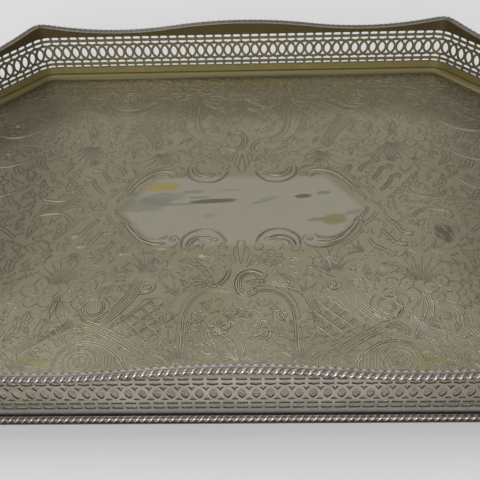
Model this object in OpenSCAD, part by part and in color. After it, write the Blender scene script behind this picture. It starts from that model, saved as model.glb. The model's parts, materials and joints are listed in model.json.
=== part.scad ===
// Eight-sided serving tray with a pierced gallery, cut hand-holds and bun feet.
// Millimetres. Origin on the table, below the middle of the floor. X runs along the tray.

/* [Plan] */
// Length between the two end panels, at the middle of their metal
gallery_l = 526; // [430:1:700]
// Width between the front and back panels, at the middle of their metal
gallery_w = 341; // [290:1:480]
// How much of the length and of the width each cut corner takes
corner_cut = 95.5; // [80:0.5:115]
// Radius of each bend between two panels, at the middle of the metal
bend_r = 19.4; // [14:0.1:26]

/* [Floor] */
// Thickness of the sheet that the floor is raised from
sheet_t = 1.2; // [0.8:0.1:2.5]
// Radius of the hollow moulding round the floor
cove_r = 4.5; // [2:0.1:6]
// Flat ledge between that hollow and the gallery
ledge_w = 0.5; // [0.3:0.1:3]

/* [Gallery] */
// Thickness of the gallery sheet
wall_t = 1; // [0.7:0.1:1.5]
// Spacing of the rings in the piercing
pitch = 7.6; // [6:0.1:10]
// Plain band of the gallery below the piercing
plinth_h = 5.5; // [4:0.1:12]
// Plain band above the piercing, where the top edge is lowest
fascia_h = 2.6; // [2:0.1:8]
// Rise of the top edge from its low points to the corners
corner_rise = 7.2; // [4:0.1:10]
// Rise of the top edge from its low points to the middle of a long side
crown_rise = 7; // [4:0.1:10]

/* [Piercing] */
// Inner radius of the interlaced rings, in ring spacings
ring_in = 0.81; // [0.76:0.01:0.84]
// Outer radius of the rings where they border the slots, in ring spacings
ring_out = 1.06; // [1.0:0.01:1.1]
// Outer radius of the rings where they border the spandrels, in ring spacings
spandrel_out = 1.04; // [1.02:0.01:1.08]
// Height from the ring centres to the rail between the two rows of slots, in ring spacings
rail_at = 1.32; // [1.28:0.01:1.4]
// Height of that rail, in ring spacings
rail_h = 0.26; // [0.2:0.01:0.32]
// Height of the outer slots, in ring spacings
slot_h = 0.34; // [0.28:0.01:0.4]
// Length of a slot, in ring spacings
slot_l = 0.8; // [0.7:0.01:0.84]
// Half the width of a spandrel, in ring spacings
spandrel_half = 0.4; // [0.36:0.01:0.44]

/* [Mounts] */
// Diameter of the rope mount on the top edge
top_rope_d = 4.6; // [3.6:0.1:7]
// How far the middle of that rope lies below the edge
top_rope_drop = 0.2; // [0.1:0.1:1]
// Thickness of the plain lip that runs from the rope over the edge
lip_h = 1.2; // [0.8:0.1:1.8]
// How far the lip stands in from the gallery's inner face
lip_in = 0.3; // [0:0.1:1]
// Diameter of the rope mount round the foot of the gallery
base_rope_d = 4; // [3:0.1:8]
// Groove between the gallery and that rope
base_groove = 1.9; // [0.5:0.1:3]
// How far the floor's flange ends inside the outer edge of that rope
flange_in = 0.4; // [0.2:0.1:0.8]

/* [Hand-holds] */
// Clear length of a hand-hold
grip_l = 76; // [66:1:84]
// Clear height of a hand-hold
grip_h = 17; // [14:0.5:24]
// Width of its bound edge, seen from the side
grip_rim = 2.2; // [1.6:0.1:4]
// Thickness of that edge, across the gallery
grip_rim_t = 3.2; // [2.4:0.1:5]
// Plain metal below and above the bound edge
grip_margin = 2; // [1:0.5:6]

/* [Feet] */
// Diameter of a bun foot
foot_d = 22; // [16:1:30]
// Height of a foot, from the table to the floor's underside
foot_h = 12; // [8:0.5:20]
// Diameter of its collar
collar_d = 17.6; // [10:0.1:28]
// Height of its collar
collar_h = 1.6; // [1:0.1:3]
// Distance of the feet from the corner panels, measured square to them
foot_inset = 24; // [18:1:50]

/* [Hidden] */

$fn = 96;
SILVER = "silver";
SIDES = 8;
TURN = 360 / SIDES;
SEAT = 0.05;            // clearance of a part in the groove that holds it
CUT = 1;                // how far a cutting solid runs past the metal
THROUGH = 8;            // thickness of the solids that pierce the gallery
EDGE_STEP = 8;          // spacing of the stations along the waved top edge
ROPE_FACETS = 10;       // facets round a mount
LIP_FACETS = 3;         // facets round the inner end of its lip
BEND_RINGS = 3;         // sections of a mount in half a bend
COVE_FACETS = 6;        // facets of the hollow moulding

// Levels above the table
floor_z = foot_h + sheet_t;                     // top of the floor
ledge_z = floor_z + cove_r;                     // top of the ledge, where the gallery stands
slot_top = rail_at + rail_h + slot_h;           // piercing's half height, in ring spacings
rings_z = ledge_z + plinth_h + slot_top * pitch;
fascia_z = rings_z + slot_top * pitch;          // where the piercing ends
low_z = fascia_z + fascia_h;                    // lowest top edge of the gallery metal
corner_z = low_z + corner_rise;
crown_z = low_z + crown_rise;
grip_z = fascia_z + grip_margin + grip_rim + grip_h / 2;
grip_top_z = grip_z + grip_h / 2 + grip_rim + grip_margin + top_rope_d / 2;

// Distances outwards from the middle of the gallery metal
cove_u = -wall_t / 2 - ledge_w - cove_r;        // where the hollow moulding meets the flat floor
base_u = wall_t / 2 + base_groove + base_rope_d / 2;
rim_u = base_u + base_rope_d / 2 - flange_in;   // edge of the floor's flange, under the rope

// A side is numbered from 0 at the front, clockwise from above. Even sides are square to the axes.
function is_corner(i) = i % 2 == 1;
function is_end(i) = i % 4 == 2;
function side_angle(i) = -90 - TURN * i;        // direction in which side i faces
function side_mid(i) = is_corner(i)
    ? [sign(cos(side_angle(i))) * (gallery_l - corner_cut) / 2,
       sign(sin(side_angle(i))) * (gallery_w - corner_cut) / 2]
    : [cos(side_angle(i)) * gallery_l / 2, sin(side_angle(i)) * gallery_w / 2];
function side_len(i) = is_corner(i) ? corner_cut * sqrt(2)
                     : (is_end(i) ? gallery_w : gallery_l) - 2 * corner_cut;
function outwards(i) = [cos(side_angle(i)), sin(side_angle(i))];
function along(i) = [sin(side_angle(i)), -cos(side_angle(i))];
bend_tangent = bend_r * tan(TURN / 2);          // length that a bend takes from each side
half_bend = bend_r * PI * TURN / 360;           // length of half a bend along its curve
function straight(i) = side_len(i) - 2 * bend_tangent;
function cells(i) = max(1, round(straight(i) / pitch));
function cell_w(i) = straight(i) / cells(i);
function edge_steps(i) = ceil(straight(i) / EDGE_STEP);
function reach(i) = straight(i) / 2 + half_bend;  // from the middle of a side to its seam, along the metal

// Height of the gallery's top edge at a distance x from the middle of side i
function edge_z(i, x) =
    is_corner(i) ? low_z + corner_rise * pow(x / reach(i), 2)
    : is_end(i) ? corner_z + (grip_top_z - corner_z) * (1 + cos(180 * pow(x / reach(i), 2))) / 2
    : wave_z(abs(x), reach(i));
LOW_AT = 0.6;           // place of the low points between the middle and the corner
function wave_z(x, s) =
    let (low = LOW_AT * s,
         dip_r = pow(s - low, 2) / (2 * corner_rise),
         slope = 2 * crown_rise / low,
         turn = low - slope * dip_r)
    x > turn ? low_z + pow(x - low, 2) / (2 * dip_r)
             : crown_z - pow(x, 2) * slope / (2 * turn);

// Places its children at side i: X runs along the side, Y points outwards, Z is up
module at_side(i) translate(side_mid(i)) rotate(side_angle(i) - 90) children();

// The same at one end of side i (end is -1 or 1), turned outwards by a share of the half bend
module at_bend(i, end, share)
    at_side(i) translate([end * straight(i) / 2, -bend_r, 0]) rotate(-end * share * TURN / 2)
        translate([0, bend_r, 0]) children();

// Stands a flat shape up, with its Y upwards, and gives it a thickness about the wall's middle
module stand(t) rotate([90, 0, 0]) translate([0, 0, -t / 2]) linear_extrude(t) children();

// ---- floor

// Quarter round of radius r between the flat floor and the ledge, as [outwards, up]
function cove(r) = [for (k = [0 : COVE_FACETS]) let (a = -90 + 90 * k / COVE_FACETS)
    [cove_u + r * cos(a), r * sin(a)]];
function reversed(list) = [for (k = [len(list) - 1 : -1 : 0]) list[k]];

// Section of the sheet at its edge, measured from the foot of the gallery and closed by the flat floor
floor_section = [
    each cove(cove_r),
    [rim_u, 0],
    [rim_u, -sheet_t],
    each [for (p = reversed(cove(cove_r + sheet_t))) if (p[1] < -sheet_t) p]
];

// A point of side i's own axes, in those of the tray
function in_tray(i, p) = let (xy = side_mid(i) + p[0] * along(i) + p[1] * outwards(i)) [each xy, p[2]];

module floor() color(SILVER) {
    rings = [for (i = [0 : SIDES - 1], s = stations(i, 1))
        if (s[3] < reach(i)) [for (p = placed(floor_section, s, ledge_z)) in_tray(i, p)]];
    m = len(floor_section);
    n = len(rings);
    polyhedron(
        points = [for (r = rings) each r],
        faces = [
            [for (j = [0 : n - 1]) j * m],
            [for (j = [n - 1 : -1 : 0]) j * m + m - 1],
            for (j = [0 : n - 1], k = [0 : m - 2]) let (a = j * m + k, b = (j + 1) % n * m + k)
                [a, a + 1, b + 1, b]
        ]);
}

// ---- gallery

module slot_pair(w) {
    for (side = [-1, 1]) {
        translate([0, side * (rail_at + rail_h + slot_h / 2) * pitch]) outer_slot(w);
        inner_slot(w, side);
    }
}

module outer_slot(w) {
    l = slot_l * w - slot_h * pitch;
    square([l, slot_h * pitch], center = true);
    for (end = [-1, 1]) translate([end * l / 2, 0]) circle(slot_h * pitch / 2, $fn = 24);
}

module inner_slot(w, side) difference() {
    translate([-slot_l * w / 2, side > 0 ? 0 : -rail_at * pitch]) square([slot_l * w, rail_at * pitch]);
    for (end = [-1, 1]) translate([end * w / 2, 0]) circle(ring_out * pitch);
}

module vesica(w) intersection() {
    translate([-w / 2, 0]) circle(ring_in * pitch);
    translate([w / 2, 0]) circle(ring_in * pitch);
}

module spandrels(w) difference() {
    circle(ring_in * pitch);
    for (end = [-1, 1]) translate([end * w, 0]) circle(spandrel_out * pitch);
    for (end = [-1, 1]) translate([end * pitch, 0])
        square([2 * (1 - spandrel_half) * pitch, 2 * pitch], center = true);
}

// One cell of the piercing, between two ring centres
module cell(w) {
    vesica(w);
    slot_pair(w);
}

// Everything above the waved top edge of side i
module above_edge(i) {
    rail = [for (s = stations(i, edge_steps(i))) [s[0], edge_z(i, s[3])]];
    past = CUT * (rail[len(rail) - 1] - rail[len(rail) - 2]);
    polygon([
        rail[0] + [-past[0], past[1]],
        each rail,
        rail[len(rail) - 1] + past,
        [rail[len(rail) - 1][0] + past[0], 2 * grip_top_z],
        [rail[0][0] - past[0], 2 * grip_top_z]
    ]);
}

module piercing(i) translate([0, rings_z]) {
    for (k = [0 : cells(i) - 1])
        translate([(k + 0.5) * cell_w(i) - straight(i) / 2, 0]) cell(cell_w(i));
    for (k = [0 : cells(i)])
        translate([k * cell_w(i) - straight(i) / 2, 0]) spandrels(cell_w(i));
}

module stadium(l, h) {
    square([l - h, h], center = true);
    for (end = [-1, 1]) translate([end * (l - h) / 2, 0]) circle(h / 2);
}

// Plan of the sheet on side i, from seam to seam
module strip(i) polygon([
    for (s = stations(i, 1)) from_station(s, wall_t / 2),
    for (s = reversed(stations(i, 1))) from_station(s, -wall_t / 2)
]);
function from_station(s, u) = [s[0] + u * cos(s[2]), s[1] + u * sin(s[2])];

module gallery(i) color(SILVER) difference() {
    at_side(i) translate([0, 0, ledge_z]) linear_extrude(grip_top_z) strip(i);
    at_side(i) stand(THROUGH) {
        above_edge(i);
        piercing(i);
        if (is_end(i)) translate([0, grip_z]) stadium(grip_l + grip_rim, grip_h + grip_rim);
    }
    for (end = [-1, 1]) {
        at_bend(i, end, 0.5) stand(THROUGH) translate([0, rings_z]) cell(half_bend);
        at_bend(i, end, 1) stand(THROUGH) translate([0, rings_z]) spandrels(half_bend);
    }
}

// ---- rope mounts

// Stations along side i from seam to seam, n steps on its straight part, in the side's own axes.
// Each is [x, y, direction outwards, distance from the middle along the metal].
function stations(i, n) =
    let (s = straight(i) / 2)
    [for (k = [BEND_RINGS : -1 : 1]) bend_station(i, -1, k / BEND_RINGS),
     for (k = [0 : n]) let (x = s * (2 * k / n - 1)) [x, 0, 90, x],
     for (k = [1 : BEND_RINGS]) bend_station(i, 1, k / BEND_RINGS)];
function bend_station(i, end, share) =
    let (a = 90 - end * share * TURN / 2)
    [end * straight(i) / 2 + bend_r * cos(a), bend_r * sin(a) - bend_r, a,
     end * (straight(i) / 2 + share * half_bend)];

// A section, given as [outwards, up], set at station s and raised to height z
function placed(section, s, z) =
    [for (p = section) [s[0] + p[0] * cos(s[2]), s[1] + p[0] * sin(s[2]), z + p[1]]];

// Part of a circle about [u, z], from angle a0 to a1
function arc(u, z, r, a0, a1, n = ROPE_FACETS) = [for (k = [0 : n]) let (a = a0 + (a1 - a0) * k / n)
    [u + r * cos(a), z + r * sin(a)]];

module sweep(rings) {
    m = len(rings[0]);
    n = len(rings);
    polyhedron(
        points = [for (r = rings) each r],
        faces = [
            [for (k = [0 : m - 1]) k],
            [for (k = [m - 1 : -1 : 0]) (n - 1) * m + k],
            for (j = [0 : n - 2], k = [0 : m - 1]) let (a = j * m + k, b = j * m + (k + 1) % m)
                [a, a + m, b + m, b]
        ]);
}

// The top mount is a round rope outside the gallery's edge, with a lip over that edge.
// Its section is measured from the top of the gallery metal, and rebated to take it.
groove = wall_t / 2 + SEAT;
lip_top = SEAT + lip_h;
top_rope_r = top_rope_d / 2;
top_section = [
    each arc(groove + top_rope_r, -top_rope_drop, top_rope_r,
             -180, 180 - asin((lip_top + top_rope_drop) / top_rope_r)),
    each arc(lip_h / 2 - wall_t / 2 - lip_in, SEAT + lip_h / 2, lip_h / 2, 90, 270, LIP_FACETS),
    [groove, SEAT]
];

module top_mount(i) color(SILVER) at_side(i)
    sweep([for (s = stations(i, edge_steps(i))) placed(top_section, s, edge_z(i, s[3]))]);

// The base mount is round, with a flat below where it lies on the floor's flange
FLAT_AT = 30;           // angle below the horizontal where that flat begins
base_section = arc(base_u, base_rope_d / 2 * sin(90 - FLAT_AT), base_rope_d / 2,
                   FLAT_AT - 90, 270 - FLAT_AT);

module base_mount(i) color(SILVER) at_side(i)
    sweep([for (s = stations(i, 1)) placed(base_section, s, ledge_z)]);

// ---- hand-holds

module grip(i) color(SILVER) at_side(i) translate([0, 0, grip_z]) difference() {
    stand(grip_rim_t) stadium(grip_l + 2 * grip_rim, grip_h + 2 * grip_rim);
    stand(grip_rim_t + 2 * CUT) stadium(grip_l, grip_h);
    stand(wall_t + 2 * SEAT) difference() {
        stadium(grip_l + 4 * grip_rim, grip_h + 4 * grip_rim);
        stadium(grip_l + grip_rim - 2 * SEAT, grip_h + grip_rim - 2 * SEAT);
    }
}

// ---- feet

module foot(i) color(SILVER)
    translate(side_mid(i) - foot_inset * outwards(i))
        rotate_extrude() foot_section();

module foot_section() {
    bun_h = foot_h - collar_h;
    square([foot_d / 2 - bun_h / 2, bun_h]);
    intersection() {
        translate([foot_d / 2 - bun_h / 2, bun_h / 2]) circle(bun_h / 2);
        square([foot_d, bun_h]);
    }
    translate([0, bun_h]) square([collar_d / 2, collar_h]);
}

floor();
gallery(0);  // gallery_front
gallery(1);  // gallery_corner_front_left
gallery(2);  // gallery_end_left
gallery(3);  // gallery_corner_back_left
gallery(4);  // gallery_back
gallery(5);  // gallery_corner_back_right
gallery(6);  // gallery_end_right
gallery(7);  // gallery_corner_front_right
top_mount(0);  // top_mount_front
top_mount(1);  // top_mount_corner_front_left
top_mount(2);  // top_mount_end_left
top_mount(3);  // top_mount_corner_back_left
top_mount(4);  // top_mount_back
top_mount(5);  // top_mount_corner_back_right
top_mount(6);  // top_mount_end_right
top_mount(7);  // top_mount_corner_front_right
base_mount(0);  // base_mount_front
base_mount(1);  // base_mount_corner_front_left
base_mount(2);  // base_mount_end_left
base_mount(3);  // base_mount_corner_back_left
base_mount(4);  // base_mount_back
base_mount(5);  // base_mount_corner_back_right
base_mount(6);  // base_mount_end_right
base_mount(7);  // base_mount_corner_front_right
grip(2);  // grip_rim_left
grip(6);  // grip_rim_right
foot(1);  // foot_front_left
foot(3);  // foot_back_left
foot(5);  // foot_back_right
foot(7);  // foot_front_right
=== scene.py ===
"""Silver-plated gallery tray: finishes, rope mounts, flat chasing, studio floor, lamps and camera.

Lengths are in metres. Plan drawings of the chasing are in millimetres, as complex numbers:
the real part runs along the tray and the imaginary part across it.
"""
import cmath
import json
import math
import random
from functools import partialmethod
from itertools import groupby

import bpy
from mathutils import Matrix, Vector
from mathutils.bvhtree import BVHTree

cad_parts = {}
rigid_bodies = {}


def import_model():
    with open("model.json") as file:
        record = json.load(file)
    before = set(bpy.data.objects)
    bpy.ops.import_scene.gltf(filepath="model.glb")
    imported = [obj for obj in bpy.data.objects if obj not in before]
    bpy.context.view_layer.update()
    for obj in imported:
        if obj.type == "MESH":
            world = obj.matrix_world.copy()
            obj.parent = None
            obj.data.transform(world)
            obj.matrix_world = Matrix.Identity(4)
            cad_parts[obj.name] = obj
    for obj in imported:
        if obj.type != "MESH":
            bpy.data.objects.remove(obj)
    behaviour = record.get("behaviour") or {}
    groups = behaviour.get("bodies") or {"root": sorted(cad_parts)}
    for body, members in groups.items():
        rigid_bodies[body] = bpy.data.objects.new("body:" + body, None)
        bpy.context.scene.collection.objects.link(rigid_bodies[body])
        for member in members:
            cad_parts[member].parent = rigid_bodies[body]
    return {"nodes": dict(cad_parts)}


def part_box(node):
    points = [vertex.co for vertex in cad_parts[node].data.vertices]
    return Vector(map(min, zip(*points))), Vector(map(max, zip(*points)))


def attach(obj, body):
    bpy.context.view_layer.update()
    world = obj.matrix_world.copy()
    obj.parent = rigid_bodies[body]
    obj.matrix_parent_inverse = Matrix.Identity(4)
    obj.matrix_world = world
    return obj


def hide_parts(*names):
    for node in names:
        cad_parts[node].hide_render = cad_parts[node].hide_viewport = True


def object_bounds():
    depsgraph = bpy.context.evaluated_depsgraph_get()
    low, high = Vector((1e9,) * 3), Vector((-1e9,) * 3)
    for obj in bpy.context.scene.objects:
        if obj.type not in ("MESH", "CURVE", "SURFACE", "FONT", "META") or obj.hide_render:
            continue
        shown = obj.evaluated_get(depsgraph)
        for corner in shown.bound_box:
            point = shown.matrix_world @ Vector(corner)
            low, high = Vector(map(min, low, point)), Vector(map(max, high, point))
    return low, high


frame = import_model()
CAD_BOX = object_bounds()
MM = 0.001

# ---- image points, in the photograph's frame

W, H = 480, 480
POINTS = {
    "top_edge_y": (440, 18),
    "bottom_edge_y": (200, 423),
    "corner_peak_left": (42, 24.5),
    "corner_peak_right": (443, 18.5),
    "crown_back": (248, 18.5),
    "crown_front": (240, 364.5),
    "reserve_left": (118, 211),
    "reserve_right": (368, 208),
    "arch_top": (218, 291.5),
    "yellow_patch": (165, 187),
    "long_stain": (213, 201),
    "short_stain": (303, 196),
    "olive_patch": (335, 219),
    "black_blotch": (445, 233),
    "left_arc": (60, 206),
    "green_patch_left": (30, 362),
    "green_patch_right": (430, 362),
    "green_patch_mid": (85, 326),
}

# ---- camera

CAMERA_AT = Vector((15.8, -405.6, 390.0)) * MM
CAMERA_AIM = Vector((0.4, -31.4, 13.2)) * MM
CAMERA_ROLL = math.radians(2.38)
LENS = 58.39
SENSOR = 36.0


def added(name, data):
    """A new object of the scene."""
    thing = bpy.data.objects.new(name, data)
    bpy.context.scene.collection.objects.link(thing)
    return thing


def add_camera():
    data = bpy.data.cameras.new("camera")
    data.lens = LENS
    data.sensor_width = SENSOR
    data.sensor_fit = "AUTO"
    data.clip_start = 0.01
    camera = added("camera", data)
    forward = (CAMERA_AIM - CAMERA_AT).normalized()
    right = forward.cross(Vector((0, 0, 1))).normalized()
    up = right.cross(forward)
    turn = Matrix.Rotation(CAMERA_ROLL, 3, forward)
    axes = Matrix((turn @ right, turn @ up, -forward)).transposed()
    camera.matrix_world = Matrix.Translation(CAMERA_AT) @ axes.to_4x4()
    bpy.context.scene.camera = camera
    return camera


camera = add_camera()


def surface(name):
    """Search tree over a CAD node, as it lies in the frame."""
    mesh = frame["nodes"][name].data
    faces = [list(p.vertices) for p in mesh.polygons]
    return BVHTree.FromPolygons([v.co.copy() for v in mesh.vertices], faces)


def place(name, tree):
    """Where the ray of an image point meets a surface; a miss takes the place nearest the ray."""
    x, y = POINTS[name]
    local = Vector((x - W / 2, H / 2 - y, -max(W, H) * LENS / SENSOR))
    start = camera.matrix_world.translation
    ray = camera.matrix_world.to_3x3() @ local.normalized()
    hit = tree.ray_cast(start, ray)[0]
    if hit is None:
        along = start + ray * (start - CAMERA_AIM).length
        hit = tree.find_nearest(along)[0]
    return hit


def in_image(point):
    """Image place of a point, in the photograph's frame."""
    local = camera.matrix_world.inverted() @ point
    scale = max(W, H) * LENS / SENSOR / -local.z
    return W / 2 + local.x * scale, H / 2 - local.y * scale


# ---- sums on node sockets


class Value:
    """A node's output that takes part in Python sums; each sum adds its Math node."""

    def __init__(self, graph, socket):
        self.graph = graph
        self.socket = socket

    def math(self, operation, *others):
        return self.graph.math(operation, self, *others)

    __add__ = __radd__ = partialmethod(math, "ADD")
    __sub__ = partialmethod(math, "SUBTRACT")
    __mul__ = __rmul__ = partialmethod(math, "MULTIPLY")
    __truediv__ = partialmethod(math, "DIVIDE")
    __pow__ = partialmethod(math, "POWER")
    __abs__ = partialmethod(math, "ABSOLUTE")
    root = partialmethod(math, "SQRT")
    wrapped = partialmethod(math, "FRACT")
    at_least = partialmethod(math, "MAXIMUM")
    at_most = partialmethod(math, "MINIMUM")

    def __rsub__(self, other):
        return self.graph.math("SUBTRACT", other, self)

    def step(self, low, high):
        """0 at low and 1 at high, with soft ends."""
        settings = {"interpolation_type": "SMOOTHSTEP"}
        return self.graph.node("ShaderNodeMapRange", settings, {"Value": self, 1: low, 2: high})


class Graph:
    """A node tree that is written as calls."""

    def __init__(self, tree):
        self.tree = tree

    def node(self, kind, settings=None, inputs=None, output=0, **named):
        """A new node's output. Sockets go by number, or by name with _ for a space."""
        new = self.tree.nodes.new(kind)
        for name, value in (settings or {}).items():
            setattr(new, name, value)
        named = {name.replace("_", " "): value for name, value in named.items()}
        for key, value in {**(inputs or {}), **named}.items():
            for one in value if isinstance(value, list) else [value]:
                if isinstance(one, Value):
                    self.tree.links.new(one.socket, new.inputs[key])
                else:
                    new.inputs[key].default_value = one
        return Value(self, new.outputs[output]) if len(new.outputs) else None

    def math(self, operation, *inputs):
        return self.node("ShaderNodeMath", {"operation": operation}, dict(enumerate(inputs)))

    def vector(self, operation, *inputs, output=0):
        return self.node("ShaderNodeVectorMath", {"operation": operation}, dict(enumerate(inputs)), output)

    def parts(self, vector):
        """The x, y and z of a vector."""
        split = self.node("ShaderNodeSeparateXYZ", Vector=vector).socket.node
        return [Value(self, s) for s in split.outputs]

    def joined(self, x, y, z):
        """The vector of three numbers."""
        return self.node("ShaderNodeCombineXYZ", X=x, Y=y, Z=z)

    def mix(self, factor, a, b):
        """Colour a where the factor is 0, b where it is 1."""
        a, b = (c if isinstance(c, Value) else (*c, 1.0) for c in (a, b))
        return self.node("ShaderNodeMix", {"data_type": "RGBA"}, {0: factor, 6: a, 7: b}, 2)

    def noise(self, place, scale, detail=3.0, roughness=0.55):
        sizes = {"Scale": scale, "Detail": detail, "Roughness": roughness}
        return self.node("ShaderNodeTexNoise", None, sizes, Vector=place)

    def position(self):
        """The x, y and z of each point of a geometry."""
        return self.parts(self.node("GeometryNodeInputPosition"))

    def kept(self, geometry, name, value):
        """The geometry with a number kept on its points under a name."""
        settings = {"data_type": "FLOAT", "domain": "POINT"}
        inputs = {"Geometry": geometry, "Name": name, "Value": value}
        return self.node("GeometryNodeStoreNamedAttribute", settings, inputs)

    def named(self, name):
        return self.node("GeometryNodeInputNamedAttribute", {"data_type": "FLOAT"}, Name=name)

    def upright(self, mesh):
        """The edges of a mesh as lines, along which a profile keeps its y downwards."""
        line = self.node("GeometryNodeMeshToCurve", Mesh=mesh)
        return self.node("GeometryNodeSetCurveNormal", {"mode": "Z_UP"}, Curve=line)

    def paced(self, line, step):
        """The line with its points a step apart."""
        return self.node("GeometryNodeResampleCurve", {"mode": "LENGTH"}, Curve=line, Length=step)

    def swept(self, line, profile, scale=1.0):
        inputs = {"Curve": line, "Profile Curve": profile, "Scale": scale}
        return self.node("GeometryNodeCurveToMesh", None, inputs, Fill_Caps=True)


def emptied(owner):
    """The cleared node tree of a material or a world."""
    owner.use_nodes = True
    owner.node_tree.nodes.clear()
    return Graph(owner.node_tree)


# ---- geometry trees


def geometry_tree(name, sizes, build):
    """A geometry tree with named inputs, which ends in Realize Instances and Set Material."""
    tree = bpy.data.node_groups.new(name, "GeometryNodeTree")
    sockets = [("Geometry", "INPUT", "Geometry"), *((size, "INPUT", "Float") for size in sizes)]
    sockets += [("Material", "INPUT", "Material"), ("Geometry", "OUTPUT", "Geometry")]
    for socket, side, kind in sockets:
        tree.interface.new_socket(name=socket, in_out=side, socket_type="NodeSocket" + kind)
    g = Graph(tree)
    entry = g.node("NodeGroupInput").socket.node
    *given, material = [Value(g, s) for s in entry.outputs if s.name]
    whole = g.node("GeometryNodeRealizeInstances", Geometry=build(g, *given))
    painted = g.node("GeometryNodeSetMaterial", Geometry=whole, Material=material)
    g.node("NodeGroupOutput", Geometry=painted)
    return tree


def grown(name, lines, tree, sizes, material, slot, *nodes):
    """Runs a tree along lines of points, each with a width, and keeps the result as one plain mesh."""
    points, widths, edges = [], [], []
    for line, width in lines:
        edges += [(k, k + 1) for k in range(len(points), len(points) + len(line) - 1)]
        points += line
        widths += [width] * len(line)
    mesh = bpy.data.meshes.new(name)
    mesh.from_pydata(points, edges, [])
    mesh.materials.append(material)
    mesh.attributes.new("width", "FLOAT", "POINT").data.foreach_set("value", widths)
    source = added(name + "_lines", mesh)
    modifier = source.modifiers.new("growth", "NODES")
    modifier.node_group = tree
    values = {**sizes, "Material": material}
    for item in tree.interface.items_tree:
        if item.in_out == "INPUT" and item.name in values:
            modifier[item.identifier] = values[item.name]
    bpy.context.view_layer.update()
    depsgraph = bpy.context.evaluated_depsgraph_get()
    result = bpy.data.meshes.new_from_object(source.evaluated_get(depsgraph))
    source.modifiers.remove(modifier)
    bpy.data.objects.remove(source)
    piece = added(name, result)
    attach(piece, "root")
    if nodes:
        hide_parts(*nodes)


# ---- the line of the gallery, read from the frame

SIDES = (
    "front", "corner_front_left", "end_left", "corner_back_left",
    "back", "corner_back_right", "end_right", "corner_front_right",
)
DOWN = Vector((0, 0, -1))
TURN = 2 * math.pi / len(SIDES)
BEND_STEPS = 12
LINE_STEP = 2 * MM
END_INSET = 0.02


def heading(i):
    """Direction in which side i faces; half numbers stand for the seams between sides."""
    angle = -math.pi / 2 - i * TURN
    return Vector((math.cos(angle), math.sin(angle), 0))


def reach(node, direction):
    return max(v.co.dot(direction) for v in frame["nodes"][node].data.vertices)


def meeting(i, distance_i, distance_next):
    """Where the lines of side i and of the next side cross, in plan."""
    a, b = heading(i), heading(i + 1)
    cross = a.x * b.y - a.y * b.x
    return Vector((distance_i * b.y - distance_next * a.y, distance_next * a.x - distance_i * b.x, 0)) / cross


def mount_line(kind, radius, i):
    """Middle line of a mount on side i, from seam to seam, without its heights."""
    count = len(SIDES)
    away = [reach(f"{kind}_{SIDES[k % count]}", heading(k)) - radius for k in (i - 1, i, i + 1)]
    start = meeting(i - 1, away[0], away[1])
    end = meeting(i, away[1], away[2])
    seam = heading(i + 0.5)
    excess = end.dot(seam) - (reach(f"{kind}_{SIDES[i]}", seam) - radius)
    bend = excess / (1 / math.cos(TURN / 2) - 1)
    run = (end - start).normalized()
    tangent = run * bend * math.tan(TURN / 2)
    inwards = heading(i) * -bend
    start += tangent
    end -= tangent
    steps = round((end - start).length / LINE_STEP)
    turns = [0.5 * k / BEND_STEPS for k in range(BEND_STEPS + 1)]
    return (
        [start + inwards + heading(i - 0.5 + turn) * bend for turn in turns[:-1]]
        + [start.lerp(end, k / steps) for k in range(steps)]
        + [end + inwards + heading(i + turn) * bend for turn in turns]
    )


def on_top_of(line, node, radius):
    """The line at the height where a rope of that radius just shows at the top of a CAD node."""
    tree = surface(node)
    probes = [line[0].lerp(line[1], END_INSET), *line[1:-1], line[-1].lerp(line[-2], END_INSET)]
    tops = [tree.ray_cast(Vector((p.x, p.y, 1)), DOWN)[0].z for p in probes]
    return [Vector((p.x, p.y, top - radius)) for p, top in zip(line, tops)]


# ---- rope mounts

ROUND = 20
TWIST = 2.0
LOBES = ((0.36, 0.3, 1.0), (0.76, 0.085, 0.62), (0.92, 0.085, 0.62))
INNER_RELIEF = 0.5
LIP_PACE = 3
ROPE_INPUTS = ("Radius", "Step", "Lobe", "Depth", "Lip width", "Lip height", "Lip inwards", "Lip down")
ROPES = {
    "top_mount": (2.3, 4.3 / 18, 4.3, 0.95, 3.4, 0.8, 1.7, -0.76),
    "base_mount": (2.0, 3.9 / 18, 3.9, 0.8, 1.6, 0.5, 0.6, 1.45),
}


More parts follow.
